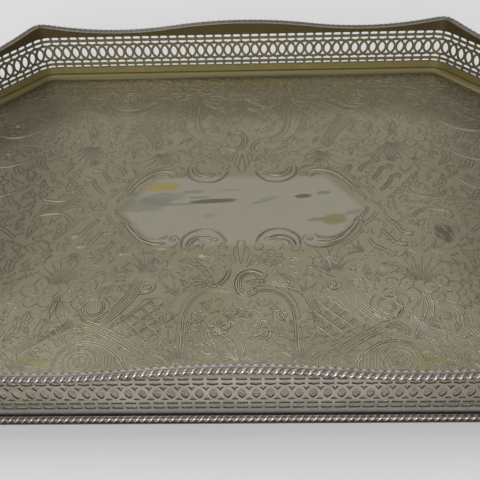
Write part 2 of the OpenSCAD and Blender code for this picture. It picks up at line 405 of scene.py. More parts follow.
def rope_moulding(g, mesh, radius, step, lobe, depth, lip_width, lip_height, lip_inwards, lip_down):
    """A moulding of one broad and two narrow twisted ribs, over and over, with a ribbed lip."""
    line = g.upright(mesh)
    length = g.node("GeometryNodeSplineParameter", output=1)
    ring = g.node("GeometryNodeCurvePrimitiveCircle", Resolution=ROUND, Radius=radius)
    ring = g.kept(ring, "around", g.node("GeometryNodeSplineParameter"))
    inner = g.position()[0] / radius
    rope = g.swept(g.kept(g.paced(line, step), "along", length), g.kept(ring, "inner", inner))
    pitch = g.named("along") / lobe
    phase = (pitch + g.named("around") * TWIST).wrapped()
    broad, upper, lower = (
        (1 - ((phase - middle) / half) ** 2).at_least(0).root() * height for middle, half, height in LOBES
    )
    worn = g.position()[1].step(-50 * MM, 50 * MM)
    inwards = g.named("inner")
    smooth = (inwards + worn * 0.8).step(-0.3, 0.7) * 0.85
    relief_and_lit_side = broad.at_least(upper).at_least(lower)
    relief_and_lit_side = relief_and_lit_side + (INNER_RELIEF - relief_and_lit_side) * smooth
    rope = g.kept(rope, "relief_and_lit_side", relief_and_lit_side)
    sinking = {0: g.node("GeometryNodeInputNormal"), "Scale": (relief_and_lit_side - 1) * depth}
    sinking = g.node("ShaderNodeVectorMath", {"operation": "SCALE"}, sinking)
    rope = g.node("GeometryNodeSetPosition", Geometry=rope, Offset=sinking)
    bar = g.node("GeometryNodeCurvePrimitiveQuadrilateral", Width=lip_width, Height=lip_height)
    rounding = {"Count": 3, "Limit Radius": True, "Radius": lip_height * 0.45}
    bar = g.node("GeometryNodeFilletCurve", {"mode": "POLY"}, rounding, Curve=bar)
    shift = g.joined(lip_inwards, lip_down, 0.0)
    bar = g.node("GeometryNodeTransform", Geometry=bar, Translation=shift)
    bar = g.kept(bar, "inner", inner * 0.5)
    lip = g.swept(g.kept(g.paced(line, step * LIP_PACE), "along", length), bar)
    ridge = abs((pitch - inwards).wrapped() - 0.5) * 2
    lip = g.kept(lip, "relief_and_lit_side", (ridge - 0.5) * (0.7 - worn * 0.6) + 0.6)
    both = g.node("GeometryNodeJoinGeometry", Geometry=[rope, lip])
    return g.node("GeometryNodeSetShadeSmooth", Geometry=both)


def add_ropes(material):
    tree = geometry_tree("rope moulding", ROPE_INPUTS, rope_moulding)
    for kind, lengths in ROPES.items():
        sizes = {name: length * MM for name, length in zip(ROPE_INPUTS, lengths)}
        for i, side in enumerate(SIDES):
            node = f"{kind}_{side}"
            line = on_top_of(mount_line(kind, sizes["Radius"], i), node, sizes["Radius"])
            grown(f"{kind}_{side}_rope", [(line, 1.0)], tree, sizes, material, "plate_mounts", node)


# ---- flat chasing, drawn in plan

FRAME_TIP = 90.5-1j
ARCH_TOP = 15+77.4j
CENTRE = 1
BACK_FRAME = 8
BACK_FIELD = 3
BOLD = 0.56
FINE = 0.42
CURVE_STEP = 1.4
CURL_STEPS = 5
CURL_CORE = 0.22


def curve(*knots, closed=False):
    """A smooth line through points."""
    before, after = (knots[-1:], knots[:2]) if closed else (knots[:1], knots[-1:])
    ways = [*before, *knots, *after]
    line = []
    for a, b, c, d in zip(ways, ways[1:], ways[2:], ways[3:]):
        steps = max(2, round(abs(c - b) / CURVE_STEP))
        for t in (s / steps for s in range(steps)):
            bend = (2 * a - 5 * b + 4 * c - d) * t**2 + (3 * b - a - 3 * c + d) * t**3
            line.append((2 * b + (c - a) * t + bend) / 2)
    return [*line, c]


def beside(line, offset):
    """The line shifted to its left; offset may be a function of the share run so far."""
    last = len(line) - 1
    shifted = []
    for k, p in enumerate(line):
        step = line[min(k + 1, last)] - line[max(k - 1, 0)]
        by = offset(k / last) if callable(offset) else offset
        shifted.append(p + 1j * step / abs(step) * by)
    return shifted


def swung(centre, arm, angle, steps, core=1.0):
    """The path of an arm's tip that swings about a centre and shrinks to a share of its length."""
    shares = [k / steps for k in range(steps + 1)]
    return [centre + arm * cmath.rect(1 - (1 - core) * t, angle * t) for t in shares]


def curl(centre, start, turns):
    """A spiral from start that winds in round centre, the other way where turns is below 0."""
    arm = start - centre
    steps = max(8, round(abs(arm * turns) * CURL_STEPS))
    return swung(centre, arm, 2 * math.pi * turns, steps, CURL_CORE)


def arc(centre, radius, start=0, end=360):
    """A circle, or part of one between two angles in degrees."""
    angle = math.radians(end - start)
    steps = max(round((end - start) / 45), round(radius * angle / CURVE_STEP))
    return swung(centre, cmath.rect(radius, math.radians(start)), angle, steps)


def around(centre, radius, count, phase=0.0):
    """Evenly spaced places on a circle."""
    return [centre + cmath.rect(radius, phase + 2 * math.pi * k / count) for k in range(count)]


def crossings(line, direction, shift):
    """Places along the line direction * t + shift where it crosses a closed outline."""
    found = []
    for a, b in zip(line, line[1:]):
        da, db = (((p - shift) / direction).imag for p in (a, b))
        if da * db < 0:
            p = a + (b - a) * da / (da - db)
            found.append(((p - shift) / direction).real)
    return sorted(found)


LEAF_SWELL = 0.75
LEAF_NOTCH = 0.3
VEIN_REACH = 0.52
VEIN_ANGLE = math.radians(38)
PETAL = (-1+0.3j, -0.2+1j, 0.9+0.45j, 0.9-0.45j, -0.2-1j, -1-0.3j)
HEART_RADIUS = 1.21
HEART_DOT = 0.45


def leaf_swell(t):
    """Width of a leaf at a share of its length, as a share of the most."""
    return math.sin(math.pi * t**LEAF_SWELL)


class Chasing:
    """The strokes, broad bands and beads of the drawing, each laid wherever its motif repeats."""

    def __init__(self):
        self.strokes = []
        self.bodies = []
        self.beads = []
        self.places = ()

    def lay(self, pile, width, lines):
        pile += [([place(p) for p in line], width) for line in lines for place in self.places]

    def stroke(self, *lines, width=BOLD):
        self.lay(self.strokes, width, lines)

    def fine(self, *lines):
        self.lay(self.strokes, FINE, lines)

    def lined(self, line, *offsets, width=BOLD):
        """A line and others beside it."""
        self.stroke(line, *(beside(line, by) for by in offsets), width=width)

    def ribbon(self, line, gap, count):
        """Lines side by side, the outer two bold."""
        for k in range(count):
            self.stroke(beside(line, gap * k), width=BOLD if k in (0, count - 1) else FINE)

    def body(self, line, width):
        """A broad polished band."""
        self.lay(self.bodies, width, [line])

    def scroll(self, line, gap, width, *offsets):
        """A polished band between two lines, and more lines beside it."""
        self.lined(line, gap, *offsets)
        self.body(beside(line, gap / 2), width)

    def bead(self, radius, *centres):
        self.lay(self.beads, radius, [[centre] for centre in centres])

    def beads_along(self, line, spacing, radius):
        due = 0.0
        for a, b in zip(line, line[1:]):
            step = abs(b - a)
            while due <= step:
                self.bead(radius, a + (b - a) * due / step)
                due += spacing
            due -= step

    def leaves(self, *leaves):
        """Lobed leaves with a midrib and veins: root, tip, width, bend, lobes and veins of each."""
        for root, tip, width, bend, lobes, veins in leaves:
            way = tip - root
            rib = curve(*curve(root, root + way * 0.5 + 1j * way * bend, tip))
            for side in (1, -1):

                def edge(t):
                    notch = 1 - LEAF_NOTCH * abs(math.sin(math.pi * lobes * t))
                    return side * width / 2 * leaf_swell(t) * notch

                self.fine(beside(rib, edge))
                turn = cmath.rect(1, side * VEIN_ANGLE) * way / abs(way)
                for k in range(veins):
                    t = (k + 0.7) / (veins + 0.8)
                    at = rib[int(t * (len(rib) - 1))]
                    self.fine(curve(at, at + turn * width * VEIN_REACH * leaf_swell(t)))
            self.fine(rib)

    def fan(self, root, first, last, long, short, count, bend=0.0, start=2.0):
        """Strokes that spread from a root between two angles, long ones between short ones."""
        for k in range(count):
            t = k / (count - 1)
            way = cmath.rect(1, math.radians(first + (last - first) * t))
            length = (short if k % 2 else long) * (0.6 + 0.4 * math.sin(math.pi * (0.15 + 0.7 * t)))
            side = 1j * way * bend * (1 - 2 * t) * length
            half_way = root + way * (start + length) / 2 + side
            self.fine(curve(root + way * start, half_way, root + way * length))

    def flower(self, centre, ring, size, count, phase=0.0):
        """Round petals about a stippled heart."""
        for middle in around(centre, ring, count, math.radians(phase)):
            out = (middle - centre) / ring * size
            self.stroke(curve(*(middle + out * p for p in PETAL), closed=True))
            self.fine(curve(middle - out * 0.6, middle + out * 0.2))
        self.bead(HEART_DOT, centre, *around(centre, HEART_RADIUS, 7))


def quarters(back):
    """The four places of a motif drawn outwards from the middle; back shifts the far ones."""
    return (
        lambda q: CENTRE - q,
        lambda q: CENTRE + q.conjugate(),
        lambda q: CENTRE - q.conjugate() + 1j * back,
        lambda q: CENTRE + q + 1j * back,
    )


def raised(places, *heights):
    """The places, each repeated at some distances across the tray."""
    return [lambda q, lay=lay, up=up: lay(q + 1j * up) for up in heights for lay in places]


FRAME = quarters(BACK_FRAME)
FIELD = quarters(BACK_FIELD)
HERE = (lambda p: p,)
AS_DRAWN = (lambda p: p, lambda p: 2+7j - p)
ENDS = (lambda p: p, lambda p: 2 * CENTRE - p.conjugate())


def reserve_frame(c):
    """C-scrolls round the plain middle."""
    c.lined(curve(40+39j, 39.5+30j, 35+24.5j, 28+21.5j, 19+22.5j, 12.5+29j, 10.5+35j), 1.1)
    c.stroke(curve(38+37j, 36+31j, 31+27j, 25+26.5j, 19+28.5j))
    c.stroke(curve(33+37j, 32.5+33.5j, 29+30.8j, 24+30.5j, 20+31.5j))
    c.body(curve(36.5+38j, 34.5+32.5j, 30+29j, 25+28.4j, 19.5+30j), 1.3)
    c.stroke(curl(36.5+39.5j, 40+39j, 1.2), curl(17.6+31j, 20+32.6j, -1.1), curl(11.5+38j, 10.5+34j, 1.3))
    c.lined(curve(84+9j, 78+20j, 73+27j, 65+34.5j, 55+38.3j, 46.5+37j, 43+32.5j), -1.2)
    c.lined(curve(77+20j, 70+26.5j, 62+30.3j, 54+29.8j, 49.5+26.5j), 1.4)
    c.body(curve(80.5+14.5j, 75+23j, 68+30.5j, 59+34.3j, 51+33.6j), 1.5)
    c.stroke(curl(46.3+30.2j, 42.6+32j, 1.3), arc(46.3+30.2j, 1.2))
    c.lined(curve(FRAME_TIP, 88.5+5j, 84.7+9.5j, 81+12j, 79.5+16j), 1.6)
    c.beads_along(curve(88+5j, 83+11j, 78.5+17.5j, 75+23j), 2.4, 0.6)
    c.lined(curve(97+4j, 92+12j, 86+18j, 82+26j, 74+34j, 66+40j), 2.2, width=FINE)
    c.stroke(curl(83+14j, 80.5+17j, 1.1), curl(85+24j, 82+26j, 1.2), curl(94.5+13j, 92+12j, -1.2))


def anthemion(c):
    """Upright leaves between the two inner scrolls."""
    c.stroke(curve(0.2+31.5j, 2.6+34.5j, 1.6+46j, 0.2+54j))
    c.stroke(curve(3.4+37j, 5.4+43j, 3.2+53j), curve(7.6+44j, 7+50j, 3.4+57j))
    c.fine(curve(15+41j, 14+46j, 9.6+50j, 6+56j))
    c.fine(curve(19+44j, 15.5+50j, 10+55j), curve(22+40j, 18+41.5j, 15.5+45j))
    c.fan(30+46j, 150, 215, 14, 9, 7, 0.12)
    c.fan(26+35j, 200, 330, 6, 4, 6)
    c.leaves((27+52j, 9+44j, 6, -0.2, 3, 3))


def arch(c):
    """Horseshoe with a ribbed border."""
    line = curve(34+125j, 34+110j, 33.5+98j, 31+88j, 26+81j, 17+77.6j, 6+79.5j)
    c.lined(line, 1.5)
    c.fine(beside(line, 4.4))
    c.leaves(
        (3+117j, 14+106j, 5, 0.25, 3, 2), (20+118j, 29+105j, 6, -0.2, 3, 2),
        (15+120j, 20+108j, 5, 0.2, 3, 2), (31+112j, 31+100j, 4, 0.15, 3, 2),
        (20+94j, 26+86j, 4, -0.2, 3, 2), (2+100j, 8+94.5j, 4, 0.2, 3, 2),
        (22+101j, 25+93j, 3.5, 0.2, 3, 2),
    )
    c.ribbon(curve(48+113j, 46.5+103j, 45+93j, 41+83j), 1.7, 4)
    c.stroke(curve(41+83j, 37+78j, 31+75j, 24+72j), curve(40+81j, 46+76j, 50+70j))
    c.fan(40+81j, 255, 340, 13, 8, 7, 0.1)
    for k in range(6):
        c.fine(arc(34+78.5j - (3.4+1j) * k, 3, 180, 330))


def trellis(c):
    """Lattice with a small diamond in each opening, in an outline of curved bands."""
    outline = curve(
        49+84j, 55+83j, 61+84j, 66.5+92j, 77+104j, 67+110j, 57+118j, 49+113j, 47+98j, closed=True
    )
    c.fine(outline)
    node = 57+95j
    ways = (5.2+5.2j, 5.2-5.2j)
    for way, step in (ways, ways[::-1]):
        for k in range(-4, 5):
            bar = node + k * step
            cuts = crossings(outline, way, bar)
            for a, b in zip(cuts[::2], cuts[1::2]):
                c.stroke(curve(bar + way * a, bar + way * b))
    for a in range(-4, 4):
        for b in range(-4, 4):
            corner = node + ways[0] * a + ways[1] * b
            middle = corner + sum(ways) / 2
            cuts = [crossings(outline, way, middle) for way in (1, 1j)]
            clear = min(min([abs(t) for t in found] or [0]) for found in cuts)
            inside = sum(t > 0 for t in cuts[0]) % 2
            if inside and clear > 3:
                c.fine(around(middle, 3.2, 4) + [middle + 3.2])
                c.bead(0.5, middle)
            if inside:
                c.bead(0.6, corner)


def bands(c):
    """Ribbed ribbons that part the trellis from the flowers and the rosette."""
    c.ribbon(curve(62+68j, 65+78j, 71+89j, 79+99j, 86+105j), -1.8, 5)
    c.ribbon(curve(86+105j, 77+110j, 68+116j, 60+122j), -1.9, 4)
    c.stroke(curl(60+73j, 64.5+72j, 1.35), curl(60+73j, 63+76j, -1.1))
    c.stroke(curve(55+69j, 56+76j, 61+79j, 66+79j), curve(102+86j, 100+94j, 94+101j, 86+104j))
    c.lined(curl(93+91j, 84+96j, -1.6), 1.4)
    c.stroke(arc(93+91j, 11, 100, 240))


def flowers(c):
    """Five-petalled flowers, their stems and leaves, and a feathered crest."""
    c.flower(102.5+78j, 8, 4.8, 5, 18)
    c.flower(129.5+77.5j, 8, 4.8, 5, 54)
    c.fan(116+76j, 228, 318, 30, 21, 15, 0.05, 6)
    c.fan(116+78j, 60, 120, 24, 16, 7, 0.06, 3)
    c.stroke(curve(119+78j, 121+90j, 119+101j), curve(116+78j, 117+92j, 112+104j))
    c.fine(arc(92+62j, 3.4), arc(92+62j, 1.6))
    c.leaves(
        (126+118j, 108+101j, 5, 0.1, 3, 4), (106+118j, 124+98j, 5, -0.1, 3, 4),
        (108+66j, 92+54j, 7, 0.2, 4, 4), (90+70j, 83+54j, 6, -0.2, 3, 3),
        (140+96j, 146+118j, 7, 0.15, 4, 4), (133+92j, 130+112j, 6, -0.15, 4, 4),
    )


def acanthus(c):
    """Leaves that sweep from the flowers to the arch."""
    c.leaves(
        (18+66j, 43+50j, 9, -0.22, 5, 6), (20+70j, 40+66j, 6, 0.2, 4, 4),
        (34+76j, 24+62j, 5, 0.2, 3, 3),
    )
    c.fan(62+64j, 205, 318, 27, 18, 13, 0.1, 4)
    c.stroke(curve(62+66j, 54+62j, 48+55j, 50+48j), curl(53+49j, 50+48j, -1.2))
    c.fan(84+44j, 170, 250, 17, 11, 7, 0.1)
    c.fan(56+46j, 20, 100, 13, 8, 7, 0.1)


def rosette(c):
    """Ringed boss with five dots, by the rim."""
    centre = 95+132j
    c.stroke(arc(centre, 7), arc(centre, 10))
    c.bead(0.9, *around(centre, 3.4, 5))
    for root, tip in zip(around(centre, 10.6, 22), around(centre, 12.6, 22, 0.12)):
        c.fine(curve(root, tip))
    c.lined(curve(112+138j, 109+125j, 99+117.5j, 85+118.5j, 73+127j, 66+139j), -1.6)
    for k in range(8):
        c.fine(curve(90+120.5j - (2.3-0.9j) * k, 85+128j - 2 * k, 84+138j - 2 * k))
    for k in range(6):
        c.fine(curve(101+104j + (1-1.2j) * k, 112+110j - 1j * k, 123+117.5j - 1.4j * k, 137+128j - 3j * k))
    c.fine(curve(121+100j, 124+109j, 124+119j), curve(124+99j, 127+108j, 126+118j))
    c.fan(84+116j, 200, 330, 12, 8, 7, 0.15)
    c.leaves((104+112j, 88+108j, 6, 0.25, 4, 4))


def star_flowers(c):
    """Flowers and buds inside the arch, as they stand in the photograph."""
    c.flower(-12-106j, 4.6, 2.6, 7)
    c.flower(-5-95j, 2.6, 1.7, 5)
    c.flower(4-95j, 2.6, 1.7, 5)
    c.flower(14-108j, 4.2, 2.4, 6)
    c.flower(-25-98j, 2.8, 1.8, 5)
    c.flower(26-97j, 2.8, 1.8, 5)


def inner_garden(c):
    """Stems and grasses inside the arch, and fans at its foot."""
    c.stroke(curve(1+130j, 5+118j, 12+112j, 20+104j, 24+92j, 18+84j))
    c.fine(curl(14+86j, 18+83j, 1.3), curve(3+128j, 12+122j, 22+118j, 28+108j))
    c.fine(curl(26+105j, 28.5+108j, 1.2), curl(8+90j, 13+90j, -1.2))
    c.fan(134j, 275, 330, 18, 12, 6, 0.1)
    c.fan(36+136j, 215, 325, 26, 17, 13, 0.12, 3)
    c.fan(20+116j, 140, 260, 9, 6, 7, 0.1)
    c.fan(24+94j, 30, 150, 6, 4, 5, 0.1)
    c.leaves((3+130j, 15+121j, 5, 0.2, 3, 3), (28+132j, 22+118j, 5, 0.2, 3, 3))


def beaded_scrolls(c):
    """The large beaded C above the arch and the scroll that answers it."""
    big = curve(17-62j, 8-58.5j, -62j, -3.2-71j, -1-79j, 4-83.2j, 11-81j, 13-76.5j)
    c.scroll(big, 3, 1.3, 4.4)
    c.beads_along(beside(big[4:-4], 5.6), 2, 0.6)
    c.stroke(curl(14-64.5j, 17-62j, -1.2), curl(10.4-77.4j, 13-76.5j, 1.1))
    c.leaves((18-69.5j, 4-69j, 6.5, 0.05, 3, 5))
    small = curve(-9-54.5j, -5.4-60j, -8-68j, -14-73.6j, -20-72.5j, -22-68j)
    c.scroll(small, -2.8, 1.1)
    c.beads_along(beside(small[3:-6], -4.2), 2, 0.55)
    c.stroke(curl(-19.2-69.3j, -22-68j, -1.2), curl(-8.6-57j, -9-54.5j, 1))
    c.lined(curve(-22-68j, -29-66j, -34-70j, -38-74j), 2.4, width=FINE)


def side_scrolls(c):
    """Scrolls beyond the two ends of the reserve."""
    c.scroll(curve(117+13j, 123+4.6j, 132+1.2j, 144+3.4j, 148+8j), 2.4, 1)
    c.scroll(curve(104+47j, 98+44j, 89+38j, 86+31j), 2.6, 1)
    c.scroll(curve(113+38j, 104+36j, 100+30j, 95+22j), 2.6, 1)
    c.scroll(curve(118+28j, 110+26j, 106+18j, 99+10j), 2.6, 1)
    c.stroke(curl(144.5+9j, 148+8j, 1.2), curl(119.5+15.5j, 117+13j, 1.2))
    c.stroke(curl(101+44j, 104+47j, 1.2), curl(110+35j, 113+38j, 1.2), curl(115+25j, 118+28j, 1.2))
    c.leaves(
        (121+20j, 108+6j, 7, 0.2, 4, 4), (128+12j, 130+30j, 8, 0.2, 4, 5),
        (138+12j, 148+28j, 7, -0.2, 4, 4),
    )
    c.fan(112+40j, 40, 130, 15, 10, 9, 0.1)
    c.fan(126+42j, 300, 420, 16, 10, 9, 0.1)


def wings(c):
    """Two bands that run from the back corners towards the reserve."""
    c.lined(curve(-95+100j, -88+96j, -86+88j, -90+82j), 2)
    c.scroll(curve(-84+118j, -80+110j, -72+95j, -66+80j, -66+68j), 2.2, 0.9, 4)


def end_scrolls(c):
    """Lighter scrolls with leaves and a flower, in rows towards the two end panels."""
    c.scroll(curve(156+14j, 168+4j, 184+0j, 198+6j, 204+16j, 196+22j), 2.2, 0.9)
    c.stroke(curl(196+14j, 196+22j, -1.4))
    c.leaves((172+3j, 160-8j, 8, 0.2, 4, 4), (186+0j, 200-12j, 8, -0.2, 4, 4))
    c.flower(182+16j, 5, 3, 5, 20)
    c.fan(206+8j, -40, 50, 18, 12, 9, 0.1)


def end_borders(c):
    """A waved border along the end panels, and leaves in the corners."""
    border = curve(236+0j, 228+12j, 236+26j, 228+42j, 234+58j, 222+74j, 214+92j)
    c.lined(border, 2.4, 4.2, width=FINE)
    c.leaves(
        (152+100j, 160+124j, 9, 0.2, 5, 5), (150+128j, 168+140j, 8, 0.2, 4, 4),
        (154+60j, 146+42j, 8, 0.2, 4, 5),
    )
    c.fan(132+140j, 200, 330, 20, 13, 11, 0.1)


RESERVE_EDGE = (92-7j, 92+0j, 80+12j, 70+30j, 56+34j, 42+34j, 28+26j, 14+30j, -1+40j, -1-7j)
SPRIG_STEP = 4.8
DENSE_FRONT = -95
GROUND_CELL = 1.7
SPRIG_SEED = 7


def cell(p):
    return round(p.real / GROUND_CELL), round(p.imag / GROUND_CELL)


def sprigs(c):
    """Small curled sprigs on the ground that the motifs leave free, outside the plain reserve."""
    chance = random.Random(SPRIG_SEED)
    taken = {cell(p) for line, width in c.strokes for p in line}
    edge = curve(*RESERVE_EDGE)
    plain = [[lay(p) for p in edge + edge[:1]] for lay in FRAME]

    def free(p):
        column, row = cell(p)
        near = (0,) if p.imag < DENSE_FRONT else (-1, 0, 1)
        return not any((column + a, row + b) in taken for a in near for b in near)

    def inside(p):
        return any(sum(t > 0 for t in crossings(outline, 1, p)) % 2 for outline in plain)

    half_l, half_w = (round(size / MM / 2 / SPRIG_STEP) for size in (CAD_BOX[1] - CAD_BOX[0])[:2])
    for column in range(-half_l, half_l + 1):
        for row in range(-half_w, half_w + 1):
            jitter = complex(chance.uniform(-0.5, 0.5), chance.uniform(-0.5, 0.5))
            p = (complex(column, row) + jitter * 0.8) * SPRIG_STEP
            turn = math.sin(p.real / 31) * 2.4 + math.cos(p.imag / 23) * 2 + chance.uniform(-0.8, 0.8)
            if not free(p) or inside(p):
                continue
            way = cmath.rect(1, turn)
            hand = chance.choice((1, -1))
            c.fine(curve(p - 3.4 * way, p + 0.6j * hand * way, p + 3 * way, p + (3.6+2.2j * hand) * way))
            for k in range(3):
                root = p + (1.9 * k - 2.6) * way
                for side in (1, -1):
                    tip = root + way * cmath.rect(2.3 - 0.2 * k, side * 0.9)
                    c.fine([root, (root + tip) / 2 + 0.2j * side * way, tip])


MOTIFS = (
    (FRAME, (reserve_frame, anthemion, side_scrolls)),
    (FIELD, (arch, trellis, bands, flowers, acanthus, rosette, inner_garden, end_borders)),
    (raised(FIELD, 12, 46, 82), (end_scrolls,)),
    (AS_DRAWN, (beaded_scrolls,)),
    (ENDS, (wings,)),
    (HERE, (star_flowers, sprigs)),
)


def drawn():
    c = Chasing()
    for c.places, motifs in MOTIFS:
        for motif in motifs:
            motif(c)
    return c


FLOOR = surface("floor")
FLOOR_Z = FLOOR.ray_cast(Vector((0, 0, 1)), DOWN)[0].z
FLAT_WITHIN = 0.05 * MM
THIRD = 80 * MM
WORN_FROM = -70 * MM
WORN_FULLY = 20 * MM
WORN_SINKING = 0.65
STROKE_STEP = 1.1 * MM
TAPER = 8
BLUNT = 0.35
FLATNESS = {"chasing": 0.4, "scrolls": 0.14}
BEAD_FLATNESS = 0.5


def rubbed(x, y):
    """How far the chasing is rubbed down: most at the back and on the left, not at all in front."""
    left = (0 - x).step(60 * MM, 140 * MM) * y.step(-95 * MM, -60 * MM)
    return y.step(WORN_FROM, WORN_FULLY).at_least(left)


def chased_strokes(g, mesh, step, flatness, level):
    """Low ridges along lines, thinner towards their ends and lower where they are rubbed."""
    share = g.node("GeometryNodeSplineParameter")
    taper = (share.at_most(1 - share) * TAPER + BLUNT).at_most(1)
    ring = g.node("GeometryNodeCurvePrimitiveCircle", Resolution=4, Radius=1.0)
    # painted highlight and painted shade: each ridge gets 0 on one side and 1 on the other, which the chasing
    # finish paints dark and light
    ring = g.kept(ring, "relief_and_lit_side", g.position()[0] * 0.5 + 0.5)
    ring = g.node("GeometryNodeTransform", Geometry=ring, Scale=g.joined(1.0, flatness, 1.0))
    ridges = g.swept(g.paced(g.upright(mesh), step), ring, g.named("width") * taper)
    x, y, z = g.position()
    sinking = g.joined(0.0, 0.0, (level - z) * rubbed(x, y) * WORN_SINKING)
    return g.node("GeometryNodeSetPosition", Geometry=ridges, Offset=sinking)


def chased_beads(g, mesh, flatness):
    """A low bead at every point."""
    bead = g.node("GeometryNodeMeshIcoSphere", Radius=1.0, Subdivisions=2)
    bead = g.kept(bead, "relief_and_lit_side", g.position()[2].at_least(0))
    width = g.named("width")
    size = g.joined(width, width, width * flatness)
    points = g.node("GeometryNodeMeshToPoints", Mesh=mesh)
    return g.node("GeometryNodeInstanceOnPoints", Points=points, Instance=bead, Scale=size)


def on_floor(p):
    """The point of the floor below a point of the drawing, where the floor is flat."""
    hit = FLOOR.ray_cast(Vector((p.real * MM, p.imag * MM, 1)), DOWN)[0]
    return hit if hit is not None and abs(hit.z - FLOOR_Z) < FLAT_WITHIN else None


def laid(strokes):
    """The runs of the strokes that lie on the flat floor, by sixth of the tray."""
    groups = {}
    for line, width in strokes:
        for lies, run in groupby(map(on_floor, line), lambda point: point is not None):
            run = list(run)
            if lies and len(run) > 1:
                x, y, z = run[0]
                third = "middle" if abs(x) < THIRD else "left" if x < 0 else "right"
                groups.setdefault(("front_" if y < 0 else "back_") + third, []).append((run, width * MM))
    return groups


def add_chasing(drawing, chased, polished):
    tree = geometry_tree("chased strokes", ("Step", "Flatness", "Level"), chased_strokes)
    for kind, strokes, material in (
        ("chasing", drawing.strokes, chased),
        ("scrolls", drawing.bodies, polished),
    ):
        sizes = {"Step": STROKE_STEP, "Flatness": FLATNESS[kind], "Level": FLOOR_Z}
        for part, lines in sorted(laid(strokes).items()):
            grown(f"{kind}_{part}", lines, tree, sizes, material, "plate_floor")
    tree = geometry_tree("chased beads", ("Flatness",), chased_beads)
    beads = [([q], radius * MM) for q, radius in ((on_floor(p), r) for (p,), r in drawing.beads) if q]
    grown("chasing_beads", beads, tree, {"Flatness": BEAD_FLATNESS}, polished, "plate_floor")


# ---- finishes

SPOT_EDGE = 0.22
BUMP_DEPTH = 0.0003
FASCIA_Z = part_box("top_mount_front")[0].z
LEDGE_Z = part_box("gallery_front")[0].z


def finish(name, build):
    """A material whose Principled sockets are set from what build returns."""
    material = bpy.data.materials.new(name)
    g = emptied(material)
    shader = g.node("ShaderNodeBsdfPrincipled", None, build(g))
    g.node("ShaderNodeOutputMaterial", Surface=shader)
    return material


def look(g, colour, metallic, roughness, height, strength=0.1, depth=BUMP_DEPTH):
    """What a finish gives to the Principled sockets."""
    normal = g.node("ShaderNodeBump", Height=height, Strength=strength, Distance=depth)
    return {"Base Color": colour, "Metallic": metallic, "Roughness": roughness, "Normal": normal}


def object_place(g):
    """Object coordinates, and their x, y and z."""
    where = g.node("ShaderNodeTexCoord", output=3)
    return where, *g.parts(where)


def clouded(g, where, scale, detail, a, b):
    """A cloudy noise, and the colour that it makes of two."""
    cloud = g.noise(where, scale, detail)
    return cloud, g.mix(cloud.step(0.3, 0.7), a, b)


def top_and_lit_side_share(g):
    """1 on the ridges of the rope and 0 in its hollows; on each chased line 1 on one side and 0 on the other,
    for a painted highlight and a painted shade.
    """
    return g.node("ShaderNodeAttribute", {"attribute_name": "relief_and_lit_side"}, output=2)


def spot(g, where, centre, size, angle, waver):
    """1 inside an oval of that size in plan (millimetres) and 0 outside, with a wandering soft edge."""
    width, depth = size
    oval = {"Location": centre, "Rotation": (0, 0, angle), "Scale": (width * MM, depth * MM, 1)}
    x, y, z = g.parts(g.node("ShaderNodeMapping", {"vector_type": "TEXTURE"}, oval, Vector=where))
    wander = (g.noise(where, 1500 / max(size), 5, 0.7) - 0.5) * waver
    return 1 - ((x * x + y * y).root() + wander).step(1 - SPOT_EDGE, 1 + SPOT_EDGE)


def facing(g, direction):
    """How far a surface faces a direction, from -1 to 1."""
    direction = direction if isinstance(direction, Value) else tuple(direction)
    return g.vector("DOT_PRODUCT", g.node("ShaderNodeTexCoord", output=1), direction, output=1)


def zoned_tone(g, where, colour):
    """The plate's colour, darker across the middle and towards the ends, least at the front, and lighter at
    the front on the left.
    """
    x, y, z = g.parts(where)
    across_middle = y.step(-110 * MM, -30 * MM) - y.step(50 * MM, 110 * MM)
    left = (0 - x).step(105 * MM, 175 * MM) * 0.6
    right = x.step(115 * MM, 180 * MM) * 0.3
    behind_front = y.step(-105 * MM, -60 * MM)
    heavy = (across_middle * 0.3 + (left + right) * behind_front).at_most(0.8)
    colour = g.mix(heavy, colour, (0.12, 0.105, 0.07))
    light = (1 - y.step(-130 * MM, -85 * MM)) * (0 - x).step(40 * MM, 120 * MM)
    return g.mix(light * 0.3, colour, (0.34, 0.31, 0.225))


# size in millimetres, angle, colour and strength of each
STAINS = {
    "yellow_patch": ((12.5, 5), 0.12, (0.24, 0.2, 0.06), 0.85),
    "long_stain": ((16, 2.4), 0.06, (0.085, 0.08, 0.04), 0.9),
    "short_stain": ((6, 2.2), 0.1, (0.07, 0.07, 0.045), 0.85),
    "olive_patch": ((8.5, 5), 0.1, (0.16, 0.15, 0.06), 0.85),
    "black_blotch": ((6, 9), 0.3, (0.05, 0.05, 0.035), 0.75),
    "left_arc": ((16, 3.5), 0.4, (0.12, 0.11, 0.06), 0.6),
    "green_patch_left": ((9, 5), 0.0, (0.2, 0.2, 0.07), 0.6),
    "green_patch_right": ((10, 6), 0.0, (0.2, 0.2, 0.07), 0.6),
    "green_patch_mid": ((9, 5), 0.3, (0.2, 0.2, 0.07), 0.55),
}
STAIN_WAVER = 1.2
# place from the middle and size in millimetres, angle and strength of each
SHADES = (
    ((-71, 6), (19, 7), 0.1, 0.5),
    ((-59, 13), (15, 6), 0.2, 0.5),
    ((-47, 6.2), (13, 1.3), 0.05, 0.6),
    ((-36, 19.5), (8, 1.6), 0.05, 0.6),
    ((-31, 13.3), (7, 1.4), 0.05, 0.6),
    ((-9, 21), (8, 1.4), 0.0, 0.35),
    ((-24, -6), (5, 2), 0.3, 0.3),
    ((16, 9.5), (11, 1.8), 0.4, 0.5),
    ((58.7, 17), (5, 1.8), 0.1, 0.8),
    ((53, -11), (7, 2), 0.1, 0.7),
    ((78, -4), (7, 2.4), 0.4, 0.5),
    ((-80, 17), (5, 1.8), 0.5, 0.7),
)
SHADE = (0.13, 0.128, 0.1)
SHADE_WAVER = 1.3
PLAIN = (0.255, 0.241, 0.197)


